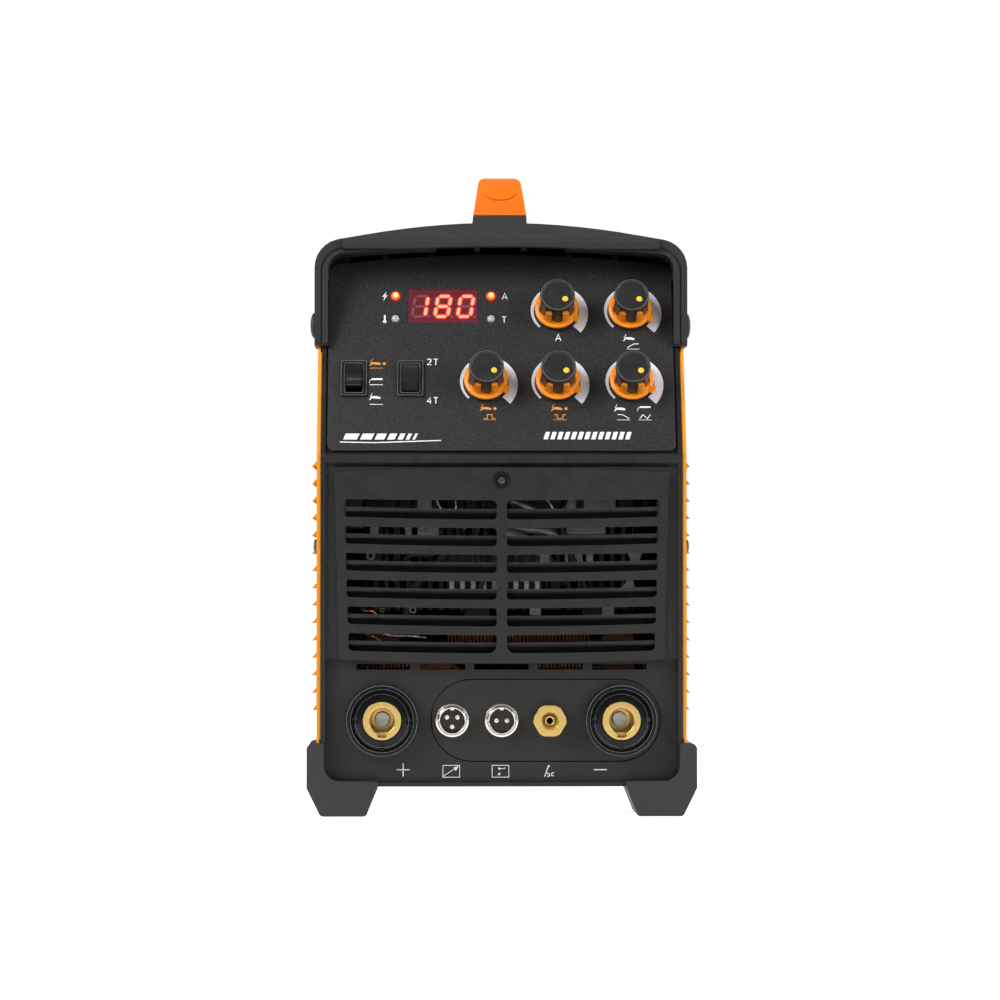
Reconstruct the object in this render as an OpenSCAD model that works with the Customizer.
// Front-loaded inverter TIG welding machine: folded steel case, moulded front with
// a sloping control panel, louvred air grille, cable sockets, handle and corner feet.
// Millimetres, +Z up, front towards -Y, origin on the floor under the middle of the machine.

/* [Case] */
// Width over the two steel side panels
case_w = 203.5; // [202.5:0.5:205]
// Height of the case floor above the ground
floor_z = 16; // [15:0.5:17]
// Height of the seam between side panel and top cover
seam_z = 262; // [260:0.5:264]
// Height of the top cover at the middle of the machine
cover_z = 306; // [305:0.5:307]
// Depth from the grille face to the rear panel's outer face
case_d = 400; // [398:1:402]
// Thickness of the steel sheet
sheet = 1.5; // [1.2:0.1:1.6]
// Distance that the front feet stand in front of the grille face
foot_lead = 6.5; // [6.4:0.1:7]
// Overall depth from the front feet to the gas inlet
overall_d = 425; // [420:1:430]

/* [Control panel] */
// Slope of the control panel back from upright, in degrees
tilt = 22; // [21.5:0.5:23]
// Height of the panel's lower edge above the ground
panel_z = 199.3; // [198:0.1:200]
// Width of the control panel plate
panel_w = 192; // [190:0.5:194]
// Length of the control panel plate up its slope
panel_l = 116; // [114:0.5:117]
// Distance up the slope to the lower row of knobs
row_low = 43; // [42.6:0.2:44]
// Distance up the slope to the upper row of knobs
row_high = 86.8; // [86:0.2:88]

/* [Knobs] */
// Height of a knob's cap above the panel
knob_h = 20.9; // [20:0.1:21]
// Radius of a knob's cap
cap_r = 9.7; // [9.4:0.1:9.8]
// Radius of the orange skirt's rim
skirt_r = 12.2; // [11.8:0.1:12.3]
// Pointer angle at rest, in degrees below the horizontal on the right
pointer_down = 30; // [28:1:34]

/* [Sockets] */
// Height of the row of sockets above the ground
socket_z = 52; // [51.5:0.1:53]
// Distance of the two welding cable sockets from the middle
socket_x = 65.8; // [65.5:0.1:66.5]
// Radius of the welding cable socket's bore
socket_bore_r = 6.6; // [6.5:0.05:6.7]
// Distance of the small connectors from the middle one
connector_x = 27.2; // [26.8:0.1:28]

/* [Louvres] */
// Number of louvre slots in one column
louvre_n = 15; // [13:1:15]
// Spacing of the louvre slots
louvre_pitch = 9.65; // [9.5:0.05:9.7]
// Distance that a louvre stands out from its panel
louvre_out = 3.1; // [2.6:0.1:3.3]

/* [Hidden] */
$fn = 48;

clear = 0.3;                        // gap between two parts that don't touch
half_w = case_w / 2;                // outer face of a side panel
inner_w = half_w - 2.2;             // outer face of the front and rear mouldings
shift_y = foot_lead - overall_d / 2; // moves the grille face from depth 0 to its place
slope = tan(tilt);                  // run back per millimetre of height on the sloping front
recess_d = 8;                       // depth of the socket wall behind the grille face
ledge_z = 85.8;                     // height where the socket wall steps forward to the grille
grille_top = 188.8;                 // grille edge heights and widths at its corners
grille_low = 85.8;
grille_w_top = 184;
grille_w_low = 179;
knob_cols = [-8.5, 31.2, 72.3];     // knob columns across the panel
// knob places in the order current, upslope, spot time, pause time, downslope
knobs = [[knob_cols[1], row_high], [knob_cols[2], row_high], [knob_cols[0], row_low],
         [knob_cols[1], row_low], [knob_cols[2], row_low]];
display_at = [-32.3, 90];
display_size = [38.6, 20.6];
lamps = [[-58.8, 96.6], [-58.8, 82.4], [-5.4, 96.6], [-5.4, 82.4]];
mode_at = [-81.7, 44.6];
trigger_at = [-50.4, 44.6];
switch_size = [14.4, 21.4];
key_size = [9.8, 17.4];              // opening for a panel switch's rocker
mains_key = [23, 18];               // opening for the mains rocker
pivot_r = 1.15;                     // radius of a rocker's pivot stub
rocker_swing = 12;                  // rocker angle each side of its middle position
lobe_r = 2.7;                       // half width of the lobes round a knob's grip
lobe_z = 7.9;                       // height of the middle of their round ends
pot_shaft_r = 3;                    // potentiometer spindle radius
louvre_cols = [[18, 128], [146, 256], [274, 376]]; // front and back of each louvre column
row_0 = 90.8;                       // height, spacing and opening height of the grille rows
row_pitch = 14.7;
opening_h = 9.5;
visor_screw = [33, 271.5];          // depth and height of the visor's screws
grille_screw_z = 184.4;             // height of the grille's screw
tongues = [[66, 113], [323, 370]];  // front and back of the tongues inside the handle's end pieces
fan_z = 150;                        // height of the fan's axis
fan_r = 56;                         // radius of the fan housing's duct
fan_front = 348;                    // depth of the fan housing's front face
fan_depth = 38;
fan_hole = 52.5;                    // distance of the fan's screws from its axis, across and up
fan_back = fan_front + fan_depth;
rear_d = case_d - 3;                // depth of the rear panel's inner face
visor_front = 20;                   // depth of the visor's front edge
visor_half = half_w + 1.95;         // outer half width of the visor
mains_at = [-62, 258];              // mains switch place on the rear panel
gland_at = [30, 258];
inlet_at = [66, 45];
inlet_r = 4.5;                      // radius of the gas inlet's tail
gland_r = 7;                        // radius of the bore through the cable gland

// ---- profile helpers ----

// points of an arc about c from angle a to angle b
function arc(c, r, a, b, n = 6) = [for (i = [0:n]) let (t = a + (b - a) * i / n) c + r * [cos(t), sin(t)]];

// rectangle with rounded corners, as points
function round_rect(w, h, r, n = 5) = concat(
    arc([w / 2 - r, h / 2 - r], r, 0, 90, n), arc([r - w / 2, h / 2 - r], r, 90, 180, n),
    arc([r - w / 2, r - h / 2], r, 180, 270, n), arc([w / 2 - r, r - h / 2], r, 270, 360, n));

// crowned outline: upright sides at +-half, rounded shoulders, and a top that rises to crown
function crown(half, base, side, corner, crown_z, n = 8) =
    let (s = half - corner, rise = crown_z - side - corner, big = (s * s + rise * rise) / (2 * rise),
         a = asin(s / big))
    concat([[half, base]], arc([s, side], corner, 0, 90 - a, 6),
           [for (i = [1:2 * n - 1]) let (t = a - a * i / n) [big * sin(t), crown_z - big + big * cos(t)]],
           arc([-s, side], corner, 90 + a, 180, 6), [[-half, base]]);

// extrusions of a flat profile along Y, X and Z between two places
module along_y(a, b) { translate([0, b, 0]) rotate([90, 0, 0]) linear_extrude(b - a) children(); }
module along_x(a, b) { translate([a, 0, 0]) rotate([90, 0, 90]) linear_extrude(b - a) children(); }
module along_z(a, b) { translate([0, 0, a]) linear_extrude(b - a) children(); }
// cylinder whose axis runs along Y, or along X
module rod_y(r, a, b) { translate([0, b, 0]) rotate([90, 0, 0]) cylinder(r = r, h = b - a); }
module rod_x(r, a, b) { translate([a, 0, 0]) rotate([0, 90, 0]) cylinder(r = r, h = b - a); }
// screw hole through a side wall, centred on the wall
module side_hole(r) { rod_x(r, -6, 6); }
module rod_y_hex(r, a, b) { translate([0, b, 0]) rotate([90, 0, 0]) cylinder(r = r, h = b - a, $fn = 6); }
// turns a part drawn along Z so that its axis runs back into the machine
module facing() rotate([-90, 0, 0]) children();
module both_sides() { children(); mirror([1, 0, 0]) children(); }
// moves depths measured from the grille face into the machine's frame
module place() { translate([0, shift_y, 0]) children(); }
// frame on the control panel's face: x across, y up the slope, z out of the panel
module on_panel(at = [0, 0], h = 0) {
    translate([0, 0, panel_z]) rotate([90 - tilt, 0, 0]) translate([at[0], at[1], h]) children();
}
// block between two corners
module block(lo, hi) { translate(lo) cube(hi - lo); }

// side view of the case, up to height top, with its front edge set back by inset
function side_outline(inset, top, rear) = [[inset, floor_z + 2], [rear, floor_z + 2], [rear, top],
    [inset + slope * (top - panel_z), top], [inset, panel_z]];

// ---- case ----

module base_tray() color("dimgray") place() difference() {
    union() {
        block([-inner_w + 1, 12, floor_z], [inner_w - 1, rear_d - 4, floor_z + sheet]);
        both_sides() block([inner_w - 1 - sheet, 14, floor_z], [inner_w - 1, rear_d - 11, floor_z + 24]);
        block([-inner_w + 8, 50, floor_z], [inner_w - 8, 62, floor_z + 5]);
        block([-inner_w + 8, 330, floor_z], [inner_w - 8, 342, floor_z + 5]);
    }
    both_sides() for (y = [30, 376]) translate([86, y, floor_z - 1]) cylinder(r = 2.2, h = 8);
    both_sides() for (y = [30, 376]) translate([inner_w, y, floor_z + 14]) side_hole(2.2);
}

// one steel side panel: flat sheet, hemmed front edge and columns of pressed louvres
module side_panel() color("darkorange") place() {
    x0 = half_w - sheet;
    low = socket_z + 5.2;
    hem_top = seam_z - 6;
    hem_back = slope * (hem_top - panel_z);
    difference() {
        union() {
            difference() {
                along_x(x0, half_w) polygon(side_outline(0.6, seam_z, rear_d + 1));
                for (c = louvre_cols) block([x0 - 1, c[0] + 1, low - 1],
                    [half_w + 1, c[1] - 1, low + louvre_pitch * louvre_n]);
            }
            along_x(x0 - 0.6, x0 + 0.2) polygon([[0.6, floor_z + 26], [5, floor_z + 26], [5, panel_z],
                [5 + hem_back, hem_top], [0.6 + hem_back, hem_top], [0.6, panel_z]]);
            for (c = louvre_cols) {
                along_y(c[0], c[1]) louvres(low, x0, false);
                for (y = [c[0], c[1] - 1.4]) along_y(y, y + 1.4) louvres(low, x0, true);
            }
        }
        for (y = [30, 376]) translate([half_w, y, floor_z + 14]) side_hole(2.2);
        for (y = [10, 388]) translate([half_w, y, 148]) side_hole(2.2);
        translate([half_w, visor_screw[0], visor_screw[1]]) side_hole(2.2);
    }
}
// louvres of one column in section: thin blades, or the solid wedges that close their ends
module louvres(low, x0, closed) for (i = [0:louvre_n - 1]) {
    z = low + louvre_pitch * i;
    tip = half_w + louvre_out;
    back = z + louvre_pitch - 1;
    polygon(closed ? [[x0, z + 1.1], [half_w, z + 0.3], [tip, z], [half_w, z + 3.6], [half_w, back], [x0, back]]
        : [[tip, z], [half_w, z + 3.6], [half_w, back], [x0, back], [x0, z + 2.6], [tip - 1.1, z]]);
}
module left_side_panel() mirror([1, 0, 0]) side_panel();
module right_side_panel() side_panel();

module top_cover() color("darkorange") place() difference() {
    along_y(54, rear_d + 1) difference() {
        polygon(crown(half_w, seam_z + clear, 284, 18, cover_z));
        polygon(crown(half_w - sheet, seam_z - 1, 284, 18 - sheet, cover_z - sheet));
    }
    for (y = [74, 360]) both_sides() translate([9, y, cover_z - 5]) cylinder(r = 2.2, h = 10);
    both_sides() translate([half_w, 388, 274]) side_hole(2.2);
}

// moulded front: sloping frame, side pillars, ledge and the recessed socket wall
module front_frame() color("#262626") place() {
    wall = 2.5;
    difference() {
        intersection() {
            union() {
                both_sides() along_x(inner_w - wall, inner_w) polygon([[0, floor_z + 2], [14, floor_z + 2],
                    [14, panel_z - 8], [48, 270], [50, 304], [slope * (304 - panel_z), 304], [0, panel_z]]);
                block([-inner_w, 0, floor_z], [inner_w, 10.5, floor_z + 2.2]);
                block([-inner_w, recess_d, floor_z], [inner_w, recess_d + wall, ledge_z + 2]);
                block([-inner_w, 3, ledge_z], [inner_w, 5.5, 192]);
                block([-inner_w, 3, ledge_z], [inner_w, recess_d + wall, ledge_z + 2]);
                along_x(-inner_w, inner_w) polygon([[0, 194], [2.7, 191.7], [5.5, 191.7], [6.6, 196],
                    [6.6 + 2 * slope, panel_z + 1.8], [1, panel_z], [0, panel_z - 1]]);
                on_panel([0, 54], -5) along_z(0, 2.7) square([2 * inner_w - 1, 108], center = true);
            }
            along_y(-1, 60) polygon(crown(inner_w, floor_z, 283, 16.5, cover_z - 2.2));
        }
        // window for the panel's electronics
        on_panel([0, 62], -8) along_z(0, 8) polygon(round_rect(180, 96, 4));
        // air window behind the grille
        translate([0, 0, 133.2]) along_y(1, 8) polygon(round_rect(176.6, 89, 4));
        // five slots below the grille
        for (i = [-2:2]) translate([i * 32.5, 0, 81.5]) along_y(6, 12)
            square([abs(i) == 1 ? 24.7 : 30, 3.2], center = true);
        // socket holes
        translate([-socket_x, 0, socket_z]) rod_y(14.2, 6, 12);
        translate([24.4, 0, socket_z]) along_y(6, 12) polygon(round_rect(127, 45.8, 22.85, 12));
        translate([0, 0, grille_screw_z]) rod_y(6.5, 2, 8);
        both_sides() translate([inner_w, 10, 148]) rod_x(1.6, -12, 6);
        both_sides() translate([inner_w, visor_screw[0], visor_screw[1]]) side_hole(2.2);
    }
    // screw boss for the grille
    translate([0, 0, grille_screw_z]) difference() {
        union() {
            rod_y(8.4, 3.1, 8.6);
            rod_y(4, 8.5, 16);
        }
        rod_y(6.5, 2, 6.5);
        rod_y(1.4, 2, 17);
    }
    // lugs for the side screws
    both_sides() difference() {
        block([inner_w - 9, 5.5, 143], [inner_w - 2, 14, 153]);
        translate([inner_w, 10, 148]) rod_x(1.6, -12, 6);
    }
}

// control panel plate: straight sides, rounded corners and a gently arched top edge
module control_panel() color("#2b2b2b") place() difference() {
    w = panel_w / 2;
    top_arch = [for (i = [-7:7]) [-(w - 7) * i / 8, panel_l + 6 * (1 - i * i / 64)]];
    on_panel([0, 0], -2) along_z(0, 2) polygon(concat(arc([4 - w, 5.4], 4, 180, 270),
        arc([w - 4, 5.4], 4, 270, 360), arc([w - 6, panel_l - 6], 6, 0, 78), top_arch,
        arc([6 - w, panel_l - 6], 6, 102, 180)));
    for (k = knobs) on_panel(k, -3) cylinder(r = 3.7, h = 4);
    on_panel(display_at, -3) along_z(0, 4) square(display_size + [0.4, 0.4], center = true);
    for (l = lamps) on_panel(l, -3) cylinder(r = 2.6, h = 4);
    for (s = [mode_at, trigger_at]) on_panel(s, -3) along_z(0, 4) square([12.8, 19.2], center = true);
}

module connector_plate() color("#272727") place() difference() {
    translate([24.4, 0, socket_z]) along_y(recess_d, recess_d + 2.5) polygon(round_rect(126.2, 45, 22.45, 12));
    for (x = [-connector_x, 0]) translate([x, 0, socket_z]) rod_y(8.1, 6, 12);
    translate([connector_x - 0.8, 0, socket_z]) rod_y(6.1, 6, 12);
    translate([socket_x, 0, socket_z]) rod_y(14.2, 6, 12);
}

// ---- air grille ----

// lower edge of a bar: a shallow arc that hangs by sag in the middle
function hang(x0, x1, z, sag, n = 8) = [for (i = [0:n]) let (x = x0 + (x1 - x0) * i / n)
    [x, z - sag * (1 - pow(x / 90, 2))]];
function backwards(p) = [for (i = [len(p) - 1:-1:0]) p[i]];

// outline of one opening, right of the middle post; row 0 is the lowest
function opening(i) = let (z = row_z(i), x1 = 84.2 + 0.55 * i, r = i == 0 ? 4.5 : 2, post = 2.8)
    concat([[post, z - 0.6 + r]], arc([post + r, z - 1.7 + r], r, 195, 270, 4),
        hang(post + r + 1, x1 - 1.5, z, 1.7), arc([x1 - 1.5, z + 1.6], 1.5, -80, 0, 3),
        arc([x1 - 1.5, z + opening_h - 1.5], 1.5, 0, 90, 3),
        backwards(hang(post + 2.6, x1 - 2.6, z + opening_h, i == 5 ? 0.6 : 1.2)),
        arc([post + 1.6, z + opening_h - 2.8], 1.6, 100, 180, 3));
function row_z(i) = row_0 + row_pitch * i;
function blade(height) = concat(hang(1.6, 86, 0, 1.5), backwards(hang(1.6, 86, height, 1.5)));

module front_grille() color("#2a2a2a") place() {
    difference() {
        along_y(0, 2.4) polygon(concat(hang(-grille_w_low / 2, grille_w_low / 2, grille_low, 2.3),
            backwards(hang(-grille_w_top / 2, grille_w_top / 2, grille_top, -2.5))));
        for (i = [0:5]) both_sides() along_y(-1, 4) polygon(opening(i));
        translate([0, 0, grille_screw_z]) rod_y(4.9, -1, 4);
    }
    // cup that sinks the screw
    translate([0, 0, grille_screw_z]) difference() {
        rod_y(6.2, 2.2, 6.2);
        rod_y(4.9, -1, 4.7);
        rod_y(1.7, 4, 7);
    }
    // blade behind each opening: an upright strip with a sheet that slopes down behind it
    for (i = [0:5]) both_sides() translate([0, 2.2, row_z(i) + 3.2]) {
        along_y(0, 2.2) polygon(blade(2.4));
        rotate([-38, 0, 0]) along_y(0, 7.4) polygon(blade(1.2));
    }
    both_sides() block([1.2, 2.2, 90], [2.6, 8.6, 176]);
    both_sides() block([85.6, 2.2, 92], [87.1, 8.6, 176]);
}

// ---- visor ----

// side view of the visor: upright front edge, sloping roof and cut-back lower corner
visor_side = [[visor_front, 261], [visor_front + 1.5, 259.5], [52, 259.5], [60, 264], [66, 272], [104, 288],
    [104, 310], [70, 320], [36, 330], [visor_front, 319]];

module visor() color("#333333") place() difference() {
    union() {
        intersection() {
            along_y(visor_front, 104) polygon(crown(visor_half, 250, 303, 16, 329.5));
            along_x(-120, 120) polygon(visor_side);
        }
        // light-catching lip along the front edge
        along_x(-88, 88) polygon([[20.5, 312.2], [17.2, 313.4], [16.4, 315], [17.2, 317.2], [20.5, 319]]);
    }
    // groove down the front of each leg and across the top
    along_y(visor_front - 1, visor_front + 1) difference() {
        polygon(crown(100.3, 250, 301.4, 13, 316.4));
        polygon(crown(99.5, 249, 300.6, 12.4, 315.8));
    }
    // opening over the control panel
    along_y(15, 56) polygon(crown(96.1, 250, 302.6, 8.5, 314.6));
    // room for the front frame, the side panels and the top cover
    along_x(-half_w - clear, half_w + clear) polygon([[slope * (250 - panel_z) - 0.4, 250],
        [slope * (302 - panel_z) - 0.4, 302], [110, 302], [110, 250]]);
    along_y(24, 110) polygon(crown(half_w + clear, 250, 284.2, 18.2, cover_z + clear));
    // hollow roof, with ribs left in it
    for (x = [-78:26:78]) intersection() {
        translate([x - 11.5, 0, 0]) block([0, 25, 306], [23, 110, 340]);
        along_y(25, 110) polygon(crown(visor_half - 3, 300, 300, 14, 326.5));
        along_x(-100, 100) polygon([[25, 314], [52, 314], [52, 305], [101, 305], [101, 308], [68, 317.4],
            [36, 327], [25, 320]]);
    }
    both_sides() translate([half_w, visor_screw[0], visor_screw[1]]) side_hole(2.2);
}

module visor_screws() color("#2b2b2b") place() both_sides()
    translate([visor_half, visor_screw[0], visor_screw[1]]) rotate([0, 90, 0]) rotate_extrude()
    polygon(concat([[0, -7.4], [2, -7.4], [2, 0], [7, 0], [7, 0.6]],
        [for (a = [15:15:75]) [7 * cos(a), 0.6 + 2 * sin(a)]], [[0, 2.6]]));

// ---- handle ----

// cross-section of the handle, narrower towards the top
handle_section = let (top = 359, r = 5.2) concat([[-16.6, 300], [16.6, 300], [15.1, 335.4]],
    arc([7, top - r], r, 11, 90, 6), arc([-7, top - r], r, 90, 169, 6), [[-15.1, 335.4]]);

module handle_side() polygon([[58, 300], [94, 300], [96, 318], [104, 331], [114, 336], [322, 336], [332, 331],
    [340, 318], [342, 300], [378, 300], [378, 336], [377.2, 343], [375.2, 349], [371.6, 354],
    [366.6, 357.4], [361, 358.8], [356, 359], [80, 359], [75, 358.8], [69.4, 357.4], [64.4, 354],
    [60.8, 349], [58.8, 343], [58, 336]]);

module handle_body() intersection() {
    along_y(56, 380) polygon(handle_section);
    along_x(-20, 20) handle_side();
}

// the end pieces cover the handle above height 336 and in front of or behind the grip
module handle_cut(gap) {
    block([-25, 50, 336 - gap], [25, 112 + gap, 362]);
    block([-25, 324 - gap, 336 - gap], [25, 380, 362]);
}

module handle_grip() color("#2a2a2a") place() difference() {
    union() {
        difference() {
            handle_body();
            handle_cut(clear);
        }
        // tongues that the end pieces clip over
        for (t = tongues) along_y(t[0], t[1]) polygon([[-9, 334], [9, 334], [8, 347], [-8, 347]]);
    }
    // the handle stands on the crowned cover and the visor's sloping roof
    along_y(50, 390) polygon(crown(half_w + 0.02, 200, 284, 18, cover_z + 0.02));
    along_x(-30, 30) polygon([[50, 290], [104, 290], [104, 310.2], [70, 320.2], [50, 326.4]]);
    along_x(-30, 30) polygon([[366, 290], [385, 290], [385, 312.4], [366, 312.4]]);
    both_sides() translate([9, 360, 300]) cylinder(r = 1.7, h = 22);
}

module handle_caps() color("darkorange") place() {
    difference() {
        intersection() {
            handle_body();
            handle_cut(0);
        }
        for (t = tongues) along_y(t[0] - 0.4, t[1] + 0.4)
            polygon([[-9.4, 330], [9.4, 330], [8.4, 347.4], [-8.4, 347.4]]);
    }
    // plain oval pad on the front
    intersection() {
        translate([0, -0.8, 0]) handle_body();
        translate([0, 0, 348.4]) along_y(50, 66) polygon([for (a = [0:15:345]) [8.2 * cos(a), 3.6 * sin(a)]]);
    }
}

// ---- feet ----

// corner foot for the front right, standing proud of the case on three sides
module foot(front_plate) {
    outer = [[103.5, 40], [105.8, 39.3], [107, 37.5], [107, 15.4], [99.8, 0.8], [98.6, 0],
        [75.2, 0], [74.2, 0.7], [68, 16]];
    difference() {
        union() {
            along_y(-foot_lead, front_plate - foot_lead) polygon(concat(outer, [[68, 18.6], [68.8, 19.3]],
                arc([89, 27.8], 8.5, -90, 0, 6), [[97.5, 39.2], [98.4, 40]]));
            along_y(front_plate - foot_lead - 0.1, 46)
                polygon(concat(outer, [[68, floor_z], [half_w, floor_z], [half_w, 40]]));
        }
        translate([86, 30, 4]) cylinder(r = 2.2, h = 20);
        translate([86, 30, -1]) cylinder(r = 4.2, h = 9);
        translate([half_w, 30, floor_z + 14]) rod_x(2.2, -1, 8);
        translate([half_w, 30, floor_z + 14]) rod_x(4.3, 2.6, 8);
    }
}
module at_rear() { translate([0, case_d + 6, 0]) mirror([0, 1, 0]) children(); }
module foot_front_right() color("#303030") place() foot(foot_lead - 0.2);
module foot_front_left() color("#303030") place() mirror([1, 0, 0]) foot(foot_lead - 0.2);
module foot_rear_right() color("#303030") place() at_rear() foot(11.8);
module foot_rear_left() color("#303030") place() at_rear() mirror([1, 0, 0]) foot(11.8);

// ---- rear ----

module rear_panel() color("#262626") place() difference() {
    union() {
        along_y(rear_d + 1.2, case_d) polygon(crown(half_w + 1.5, 42, 285, 19, cover_z + 2));
        block([-half_w, rear_d + 1.2, floor_z], [half_w, case_d, 43]);
        along_y(rear_d - 10, rear_d + 1.4) difference() {
            polygon(crown(inner_w, floor_z + 2, 283, 16.5, cover_z - 2.2));
            polygon(crown(inner_w - 2.4, floor_z + 4.4, 283, 14.1, cover_z - 4.6));
        }
    }
    translate([0, 0, fan_z]) rod_y(fan_r - 2, rear_d - 1, case_d + 1);
    for (x = [-fan_hole, fan_hole]) for (z = [-fan_hole, fan_hole]) translate([x, 0, fan_z + z])
        rod_y(2.2, rear_d - 1, case_d + 1);
    translate([mains_at[0], 0, mains_at[1]]) along_y(rear_d - 1, case_d + 1)
        square([27.4, 22.4], center = true);
    translate([gland_at[0], 0, gland_at[1]]) rod_y(12.3, rear_d - 1, case_d + 1);
    translate([inlet_at[0], 0, inlet_at[1]]) rod_y(6.2, rear_d - 1, case_d + 1);
    both_sides() for (z = [148, 274]) translate([inner_w, 388, z]) side_hole(1.6);
}

// round wire guard over the fan opening, with four screw ears
module fan_guard() color("silver") place() translate([0, case_d + 0.05, fan_z]) facing() difference() {
    union() {
        for (r = [12:8.6:56]) rotate_extrude() translate([r, 4.2]) circle(r = 0.9, $fn = 16);
        cylinder(r = 9, h = 3.4);
        for (a = [45:90:315]) rotate([0, 0, a]) {
            translate([8, -1.1, 1.3]) cube([62, 2.2, 2.4]);
            translate([74.25, 0, 0]) cylinder(r = 4.6, h = 2.5);
        }
    }
    for (a = [45:90:315]) rotate([0, 0, a]) translate([74.25, 0, -1]) cylinder(r = 2.2, h = 6);
}

// ---- fasteners ----

// pan head screw with a cross recess, head base at z 0, shank downwards
module pan_screw(head_r, head_h, shank_r, shank_l) difference() {
    rim = head_h * 0.45;
    shank = [[0, -shank_l], [shank_r, -shank_l], [shank_r, 0]];
    rotate_extrude() polygon(concat(shank, [[head_r, 0], [head_r, rim]],
        [for (a = [20:20:80]) [head_r * cos(a), rim + head_h * 0.55 * sin(a)]], [[0, head_h]]));
    for (a = [0, 90]) rotate([0, 0, a]) translate([-head_r * 0.5, -head_r * 0.11, head_h * 0.45])
        cube([head_r, head_r * 0.22, head_h]);
}

module case_screws() color("#3a3a3a") place() {
    // side panels to the mouldings and the tray, through the feet low down
    both_sides() {
        for (y = [10, 388]) translate([half_w + 0.02, y, 148]) rotate([0, 90, 0]) pan_screw(3.8, 2, 1.5, 8);
        translate([half_w + 0.02, 388, 274]) rotate([0, 90, 0]) pan_screw(3.8, 2, 1.5, 4);
        for (y = [30, 376]) translate([half_w + 2.62, y, floor_z + 14])
            rotate([0, 90, 0]) pan_screw(3.8, 1.8, 2, 8);
        // feet to the tray
        for (y = [30, 376]) translate([86, y, 7.98]) rotate([180, 0, 0]) pan_screw(3.8, 2, 2, 11);
        // fan guard
        for (z = [-fan_hole, fan_hole]) translate([fan_hole, case_d + 2.6, fan_z + z])
            rotate([-90, 0, 0]) pan_screw(3.8, 2, 2, 6);
    }
    // grille
    translate([0, 4.68, grille_screw_z]) rotate([90, 0, 0]) pan_screw(2.6, 1.2, 1.3, 9);
}

// ---- knobs and their potentiometers ----

// grip lobe or the notch for it, round at its lower end: half width, ends along the radius, top
module lobe(half, from, to, top) translate([0, 0, lobe_z]) {
    rod_x(half, from, to);
    translate([from, -half, 0]) cube([to - from, 2 * half, top - lobe_z]);
}

// black grip with six lobes under a disc cap, on its spindle
module knob() {
    grip_top = knob_h - 3;
    // cap with an eased edge and a shallow dish
    rotate_extrude() polygon(concat([[0, grip_top - 0.5], [8.2, grip_top - 0.5], [cap_r - 0.4, grip_top],
        [cap_r, grip_top + 0.4]], arc([cap_r - 0.9, knob_h - 0.9], 0.9, 0, 90, 4),
        [[cap_r - 1.3, knob_h], [cap_r - 1.7, knob_h - 0.35], [0, knob_h - 0.35]]));
    difference() {
        union() {
            rotate_extrude() polygon([[0, 3], [7.2, 3], [7.2, 14.3], [8.4, 17], [8.4, grip_top],
                [0, grip_top]]);
            for (a = [0:60:300]) rotate([0, 0, a]) lobe(lobe_r, 4, 9.3, grip_top - 0.2);
        }
        translate([0, 0, 2]) cylinder(r = pot_shaft_r + 0.02, h = grip_top - 5);
    }
    // potentiometer spindle, with a flat towards its tip
    difference() {
        translate([0, 0, -11]) cylinder(r = pot_shaft_r, h = grip_top + 8);
        translate([1.6, -4, 4]) cube([4, 8, 20]);
    }
}

// orange skirt: flat rim, conical collar cut away round the grip's lobes, and a pointer
module skirt() difference() {
    union() {
        rotate_extrude() polygon([[7.4, 2.4], [skirt_r - 0.4, 2.4], [skirt_r, 2.8], [skirt_r, 4.1],
            [skirt_r - 0.6, 4.6], [10.6, 4.8], [9.5, 13.3], [8.9, 13.9], [7.4, 13.9]]);
        translate([skirt_r - 2, -2.2, 2.4]) cube([3.9, 4.4, 2.3]);
    }
    for (a = [0:60:300]) rotate([0, 0, a]) lobe(lobe_r + 0.25, 3, 13, 15);
}

module knob_at(i) place() on_panel(knobs[i]) rotate([0, 0, -pointer_down]) children();
module current_knob() color("#1e1e1e") knob_at(0) knob();
module upslope_knob() color("#1e1e1e") knob_at(1) knob();
module spot_time_knob() color("#1e1e1e") knob_at(2) knob();
module pause_time_knob() color("#1e1e1e") knob_at(3) knob();
module downslope_knob() color("#1e1e1e") knob_at(4) knob();
module current_skirt() color("orange") knob_at(0) skirt();
module upslope_skirt() color("orange") knob_at(1) skirt();
module spot_time_skirt() color("orange") knob_at(2) skirt();
module pause_time_skirt() color("orange") knob_at(3) skirt();
module downslope_skirt() color("orange") knob_at(4) skirt();

// bushing, nut and can of the five potentiometers
module potentiometers() color("silver") place() for (k = knobs) on_panel(k) difference() {
    union() {
        translate([0, 0, -7.9]) cylinder(r = 3.5, h = 9.2);
        translate([0, 0, 0.02]) cylinder(r = 5.6, h = 1.1, $fn = 6);
        translate([0, 0, -13.8]) cylinder(r = 8.2, h = 6);
        translate([-6, -13, -13.6]) cube([12, 8, 1.6]);
    }
    translate([0, 0, -12]) cylinder(r = pot_shaft_r + 0.06, h = 16);
}

// ---- display and lamps ----

module display() color("#5a2a2e") place() on_panel(display_at) {
    along_z(-8, -0.3) square(display_size, center = true);
    for (x = [-15:3:15]) for (y = [-8, 8]) translate([x, y, -12.5]) cylinder(r = 0.3, h = 4.6, $fn = 16);
}

module indicator_lamps() color("khaki") place() for (l = lamps) on_panel(l) {
    translate([0, 0, -5]) cylinder(r = 2.5, h = 5.4);
    translate([0, 0, -5.4]) cylinder(r = 2.9, h = 1);
    intersection() {
        translate([0, 0, 0.1]) sphere(r = 2.5);
        cylinder(r = 3, h = 3);
    }
}

// ---- rocker switches ----

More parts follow.
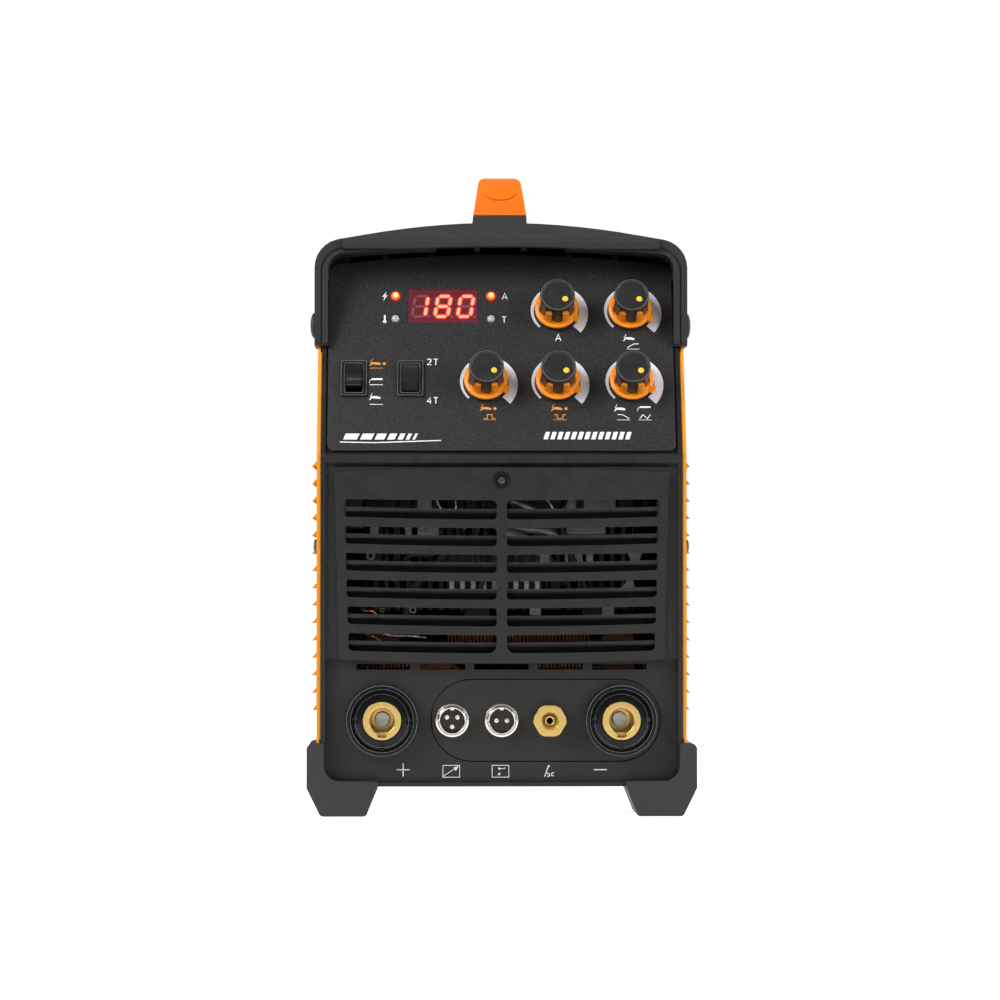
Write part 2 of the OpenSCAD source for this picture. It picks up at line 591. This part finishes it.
// outline with straight ends and sides that bulge by bow at the middle
function barrel(w, h, bow, n = 6) =
    let (side = [for (i = [0:n]) let (t = 2 * i / n - 1) [w / 2 - bow * t * t, t * h / 2]])
    concat(side, [for (p = backwards(side)) [-p[0], p[1]]]);

// snap-in body with a bezel; size is the bezel's, hole the panel cut-out's and rocker the opening's
module switch_housing(size, hole, rocker) difference() {
    union() {
        along_z(0.02, 1.8) polygon(round_rect(size[0], size[1], 1));
        along_z(-12, 0.1) square(hole, center = true);
        for (y = [-5, 0, 5]) translate([-0.4, y - 1.8, -18]) cube([0.8, 3.6, 6.5]);
    }
    along_z(-9, 3) polygon(barrel(rocker[0], rocker[1], 0.7));
    rod_x(pivot_r + 0.1, -rocker[0] / 2 - 0.9, rocker[0] / 2 + 0.9);
}

// rocker with a dished face on two pivot stubs, turned by angle
module rocker_key(size, angle) rotate([angle, 0, 0]) {
    l = size[1] / 2 - 1.1;
    w = size[0] / 2 - 0.35;
    intersection() {
        along_x(-w, w) polygon(concat([[2.6 - l, -3.6], [-l, 4.5]],
            [for (i = [-4:4]) [(l - 0.4) * i / 4, 3.9 + 1.2 * pow(i / 4, 2)]], [[l, 4.5], [l - 2.6, -3.6]]));
        along_z(-6, 8) polygon(barrel(2 * w, 2 * l + 1, 0.7));
    }
    rod_x(pivot_r, -w - 0.85, w + 0.85);
}

module panel_switch(at) place() on_panel(at) switch_housing(switch_size, [12.6, 19], key_size);
module mode_switch_housing() color("#2f2f2f") panel_switch(mode_at);
module trigger_switch_housing() color("#2f2f2f") panel_switch(trigger_at);
module mode_rocker() color("#161616") place() on_panel(mode_at) rocker_key(key_size, -rocker_swing);
module trigger_rocker() color("#232323") place() on_panel(trigger_at) rocker_key(key_size, rocker_swing);

// frame on the rear panel's face: x to the viewer's right, y up, z out of the panel
module on_rear(at) { translate([at[0], case_d, at[1]]) rotate([90, 0, 180]) children(); }
module mains_switch_housing() color("#1f1f1f") place() on_rear(mains_at)
    switch_housing([32, 26], [27, 22], mains_key);
module mains_rocker() color("firebrick") place() on_rear(mains_at) rocker_key(mains_key, -rocker_swing);

// ---- control electronics ----

module control_board() color("darkgreen") place() difference() {
    union() {
        on_panel([0, 62], -15.5) along_z(0, 1.6) square([176, 92], center = true);
        on_panel([-32, 90], -13.8) along_z(-0.2, 1.2) square([44, 24], center = true);
        on_panel([-40, 66], -25) along_z(0, 9.6) square([30, 14], center = true);
        on_panel([10, 66], -19) along_z(0, 3.6) square([20, 20], center = true);
        on_panel([60, 66], -27) along_z(0, 11.6) square([34, 12], center = true);
    }
    for (s = [mode_at, trigger_at]) on_panel(s, -30) along_z(0, 20) square([14, 21], center = true);
    for (x = [-84, 84]) for (y = [20, 104]) on_panel([x, y], -20) cylinder(r = 1.7, h = 10);
}

// ---- sockets ----

module socket_at(x) place() translate([x, 0, socket_z]) children();

// insulating shell of a welding cable socket, with the wall's face at depth recess_d
module socket_shell() facing() difference() {
    rotate_extrude() polygon([[10.9, -0.4], [13.2, -0.4], [16.8, 0.4], [17, -2.2], [17.6, -2.9], [18.9, -2.9],
        [19.7, -1.9], [19.7, recess_d - 0.02], [14, recess_d - 0.02], [14, recess_d + 9], [10.6, recess_d + 9],
        [10.6, 3], [10.9, 3]]);
    for (a = [0:90:270]) rotate([0, 0, a]) translate([14.6, 0, -1]) cylinder(r = 1.1, h = 3);
    for (a = [0:30:330]) rotate([0, 0, a + 15]) translate([15.6, -0.25, -0.9]) cube([1.2, 0.5, 1.6]);
}

// brass contact: bore with a bayonet keyway, closed end drilled for the lug bolt
module socket_contact() facing() difference() {
    union() {
        translate([0, 0, -1.4]) cylinder(r = 10.5, h = 36);
        translate([0, 0, 34]) cylinder(r = 8.2, h = 5);
    }
    translate([0, 0, -2]) cylinder(r = socket_bore_r, h = 22);
    translate([0, 0, -2]) cylinder(r = 6.2, h = 29);
    translate([0, 0, -1.5]) cylinder(r1 = 7.4, r2 = 6.5, h = 0.9);
    translate([-2.4, 0, -2]) cube([4.8, 9, 10]);
    translate([0, 0, 20]) cylinder(r = 4.1, h = 22);
}

// bolt that holds the copper bar against the back of a socket contact
module socket_bolt() facing() {
    translate([0, 0, 20.4]) cylinder(r = 3.9, h = 28.6);
    translate([0, 0, 41.6]) cylinder(r = 7.4, h = 6.4, $fn = 6);
}

module positive_socket_shell() color("#151515") socket_at(-socket_x) socket_shell();
module positive_socket_contact() color("#c29a45") socket_at(-socket_x) socket_contact();
module negative_socket_shell() color("#151515") socket_at(socket_x) socket_shell();
module negative_socket_contact() color("#c29a45") socket_at(socket_x) socket_contact();
module socket_bolts() color("silver") both_sides() socket_at(socket_x) socket_bolt();

// threaded shell of a small round connector, with a flange, a key and two notches
module connector_shell() facing() difference() {
    union() {
        rotate_extrude() polygon([[6.8, 1.2], [7.5, 1.2], [8, 1.8], [8, 5.9], [9.2, 5.9], [9.2, 7.98],
            [8, 7.98], [8, 20], [6.8, 20]]);
        translate([-1.1, -7.2, 1.6]) cube([2.2, 1.4, 7]);
        translate([0, 0, 10.6]) difference() {
            cylinder(r = 9.6, h = 2.4, $fn = 6);
            translate([0, 0, -1]) cylinder(r = 7.4, h = 5);
        }
    }
    both_sides() translate([6, -0.6, 0]) cube([3, 1.2, 2.6]);
}
module connector_shells() color("#b9aaa2") for (x = [-connector_x, 0]) socket_at(x) connector_shell();
module connector_inserts() color("#121212") for (x = [-connector_x, 0]) socket_at(x) facing() difference() {
    translate([0, 0, 7.5]) cylinder(r = 6.75, h = 10);
    translate([-1.3, -7.4, 7]) cube([2.6, 1.8, 4]);
    pin_places(x) translate([0, 0, 6]) cylinder(r = 1.25, h = 14, $fn = 24);
}
// three pins in the left connector, two in the middle one
module pin_places(x) {
    pins = x == 0 ? [[-2.9, 0], [2.9, 0]] : [[-2.9, -1.8], [2.9, -1.8], [0, 3.4]];
    for (p = pins) translate([p[0], p[1], 0]) children();
}
module connector_pins() color("white") for (x = [-connector_x, 0]) socket_at(x) facing()
    pin_places(x) translate([0, 0, 3.4]) cylinder(r = 1.2, h = 19, $fn = 24);

// brass gas fitting with a hexagon, a conical seat and a hose tail behind
module gas_outlet() color("#c9a54e") socket_at(connector_x - 0.8) facing() difference() {
    union() {
        intersection() {
            translate([0, 0, -2]) cylinder(r = 9.8, h = recess_d + 1.98, $fn = 6);
            translate([0, 0, -2]) cylinder(r1 = 8.9, r2 = 15, h = recess_d + 2);
        }
        translate([0, 0, recess_d - 1]) cylinder(r = 6, h = 15);
        translate([0, 0, recess_d + 13]) cylinder(r = 3.6, h = 14);
    }
    translate([0, 0, -2.01]) cylinder(r1 = 4.9, r2 = 2.4, h = 3.5);
    translate([0, 0, -2]) cylinder(r = 1.8, h = 44);
}

// ---- power electronics ----

module power_board() color("darkgreen") place() {
    block([-88, 70, 190], [88, 318, 191.8]);
    both_sides() for (y = [76, 312]) translate([84, y, 172]) cylinder(r = 3, h = 18.02, $fn = 6);
    // power modules clamped to the heatsinks below the board
    both_sides() for (y = [90:44:222]) block([16, y, 178.1], [52, y + 30, 190.02]);
}

// two finned heatsinks with their backs up against the power modules
module heatsinks() color("silver") place() both_sides() difference() {
    block([6, 62, 112], [76, 262, 178]);
    for (x = [9.5:6.2:72]) block([x, 61, 111], [x + 3.6, 263, 168]);
}

module transformer() color("#3b3b3b") place() translate([38, 96, 0]) {
    // ferrite core with two windows
    difference() {
        block([-34, -16, floor_z + 6.6], [34, 16, 92]);
        both_sides() block([9, -17, 34], [23, 17, 80]);
    }
    // winding round the middle leg, inside the windows
    difference() {
        block([-22.4, -24, 36], [22.4, 24, 78]);
        block([-9.6, -16.5, 35], [9.6, 16.5, 79]);
        both_sides() block([22, -16.5, 35], [30, 16.5, 79]);
    }
}

// ring choke standing on its edge, facing the grille, with heavy turns round the ring
module output_choke() color("#b06a2c") place() translate([-46, 92, 60]) rotate([90, 0, 0]) {
    difference() {
        translate([0, 0, -11]) cylinder(r = 30, h = 22);
        translate([0, 0, -12]) cylinder(r = 14, h = 24);
    }
    for (a = [20:20:340]) rotate([0, 0, a - 90]) translate([11.8, -1.9, -13.4]) cube([20.6, 3.8, 26.8]);
}

// four smoothing capacitors standing on the power board
module capacitors() color("#20242c") place() for (x = [-60:40:60]) translate([x, 270, 191.84]) difference() {
    cylinder(r = 15, h = 48);
    translate([0, 0, 46.6]) cylinder(r = 12.8, h = 3);
    translate([0, 0, 6]) rotate_extrude() translate([15.4, 0]) circle(r = 0.9, $fn = 16);
}

// solenoid gas valve: brass block, coil and bracket
module gas_valve() color("#a88b45") place() translate([66, 318, 0]) {
    difference() {
        block([-11, -12, 36], [11, 12, 54]);
        translate([0, 0, 45]) rod_y(3.5, -14, 14);
    }
    translate([0, 0, 53.8]) cylinder(r = 5, h = 8);
    translate([0, 0, 61]) along_z(0, 26) polygon(round_rect(24, 24, 3));
    translate([0, 0, 86.9]) cylinder(r = 4, h = 4, $fn = 6);
    block([-13, -14, floor_z + 5.02], [13, 14, floor_z + 7]);
    both_sides() block([11.02, -8, floor_z + 6], [12.6, 8, 50]);
}

// round tube along a list of points, as one mesh of rings square to the route
function unit(v) = v / norm(v);
function route_dir(p, i) = unit(p[min(i + 1, len(p) - 1)] - p[max(i - 1, 0)]);
function ring(c, d, r, n) = let (u = unit(cross(d, [0.31, 0.17, 0.94])), w = cross(d, u))
    [for (k = [0:n - 1]) c + r * (u * cos(360 * k / n) + w * sin(360 * k / n))];
module tube(route, r, n = 10) {
    m = len(route);
    points = [for (i = [0:m - 1]) each ring(route[i], route_dir(route, i), r, n)];
    walls = [for (i = [0:m - 2]) for (k = [0:n - 1]) let (a = i * n, b = a + n, next = (k + 1) % n)
        [a + k, a + next, b + next, b + k]];
    ends = [[for (k = [0:n - 1]) n - 1 - k], [for (k = [0:n - 1]) (m - 1) * n + k]];
    polyhedron(points, concat(walls, ends));
}
// point on a smooth curve through control points c at t
function spline_at(c, t) = let (i = min(floor(t), len(c) - 2), f = t - i, p0 = c[max(i - 1, 0)], p1 = c[i],
    p2 = c[i + 1], p3 = c[min(i + 2, len(c) - 1)])
    0.5 * (2 * p1 + (p2 - p0) * f + (2 * p0 - 5 * p1 + 4 * p2 - p3) * f * f
    + (3 * p1 - p0 - 3 * p2 + p3) * f * f * f);
function smooth(c, per) = [for (i = [0:(len(c) - 1) * per]) spline_at(c, i / per)];

// rubber gas hoses from the inlet to the valve and from the valve to the outlet
module gas_hoses() color("#20202a") place() {
    tube(smooth([[66, 331, 45], [66, 340, 45], [66, 352, 45], [66, 366, 45], [66, 382, 45]], 4), 3.3);
    tube(smooth([[66, 305, 45], [66, 285, 45], [74, 250, 42], [86, 200, 36], [88, 140, 34], [84, 90, 36],
        [66, 64, 42], [40, 54, 50], [26.4, 46, socket_z], [26.4, 37.9, socket_z]], 5), 3.3);
}

// ---- fan ----

module fan_housing() color("#1b1b1b") place() translate([0, 0, fan_z]) {
    difference() {
        along_y(fan_front, fan_back) polygon(round_rect(119, 119, 6));
        rod_y(fan_r, fan_front - 1, fan_back + 1);
        for (x = [-fan_hole, fan_hole]) for (z = [-fan_hole, fan_hole]) translate([x, 0, z])
            rod_y(2.2, fan_front - 1, fan_back + 1);
        both_sides() for (z = [-52, 52]) translate([0, 0, z])
            block([47, fan_front + 4, -9], [62, fan_back - 4, 9]);
    }
    // motor plate and three struts
    difference() {
        union() {
            rod_y(19, fan_back - 4, fan_back);
            rod_y(4.2, fan_back - 22, fan_back - 3.8);
            for (a = [90, 210, 330]) rotate([0, a, 0])
                block([16, fan_back - 4, -2], [fan_r + 1, fan_back, 2]);
        }
        rod_y(2.06, fan_back - 23, fan_back - 6);
    }
}

// seven-bladed rotor on its steel spindle, turning about the fan's axis
module fan_rotor() color("#111111") place() translate([0, 0, fan_z]) {
    back = fan_back - 5;
    difference() {
        rod_y(19, fan_front + 4, back);
        rod_y(16.5, fan_front + 6.5, back + 1);
    }
    rod_y(2, fan_front + 6, back - 1.5);
    // blades widen towards their tips and end on the duct's circle
    intersection() {
        for (a = [0:360 / 7:359]) rotate([0, a, 0]) translate([0, (fan_front + back) / 2, 0])
            rotate([118, 0, 0]) translate([0, 0, -1]) linear_extrude(2)
                polygon([[18, -8], [56, -24], [56, 24], [18, 8]]);
        rod_y(54.5, fan_front + 2, back);
    }
}

// ---- rear fittings ----

module cable_gland() color("#1d1d1d") place() translate([gland_at[0], 0, gland_at[1]]) difference() {
    union() {
        rod_y(12, case_d - 12, case_d + 4);
        rod_y_hex(16, case_d + 0.02, case_d + 6);
        rod_y(13.4, case_d + 5.9, case_d + 13);
        rod_y_hex(16, rear_d - 5.6, rear_d - 0.02);
    }
    rod_y(gland_r, case_d - 13, case_d + 14);
}

// barbed brass inlet for the shielding gas
module gas_inlet() color("#c9a54e") place() translate([inlet_at[0], case_d, inlet_at[1]])
    facing() difference() {
    union() {
        translate([0, 0, -14]) cylinder(r = 3.6, h = 12);
        translate([0, 0, -6]) cylinder(r = 6, h = 7);
        translate([0, 0, 0.02]) cylinder(r = 9.2, h = 5, $fn = 6);
        translate([0, 0, 4.9]) cylinder(r = inlet_r, h = overall_d - foot_lead - case_d - 4.9);
    }
    translate([0, 0, -15]) cylinder(r = 2, h = 60);
}

// copper bars from the power stage to the two cable sockets
module busbars() color("#b5713c") place() {
    both_sides() difference() {
        union() {
            block([socket_x - 9, 39.1, 42], [socket_x + 9, 41.5, 100]);
            block([socket_x - 9, 39.1, 97.6], [socket_x + 9, 110, 100]);
        }
        translate([socket_x, 0, socket_z]) rod_y(4.3, 36, 45);
    }
}

base_tray();
left_side_panel();
right_side_panel();
top_cover();
front_frame();
control_panel();
connector_plate();
front_grille();
visor();
visor_screws();
handle_grip();
handle_caps();
rear_panel();
fan_guard();
foot_front_left();
foot_front_right();
foot_rear_left();
foot_rear_right();
case_screws();
current_knob();
upslope_knob();
spot_time_knob();
pause_time_knob();
downslope_knob();
current_skirt();
upslope_skirt();
spot_time_skirt();
pause_time_skirt();
downslope_skirt();
potentiometers();
display();
indicator_lamps();
mode_switch_housing();
mode_rocker();
trigger_switch_housing();
trigger_rocker();
control_board();
positive_socket_shell();
positive_socket_contact();
negative_socket_shell();
negative_socket_contact();
socket_bolts();
connector_shells();
connector_inserts();
connector_pins();
gas_outlet();
power_board();
heatsinks();
transformer();
output_choke();
capacitors();
gas_valve();
gas_hoses();
fan_housing();
fan_rotor();
mains_switch_housing();
mains_rocker();
cable_gland();
gas_inlet();
busbars();
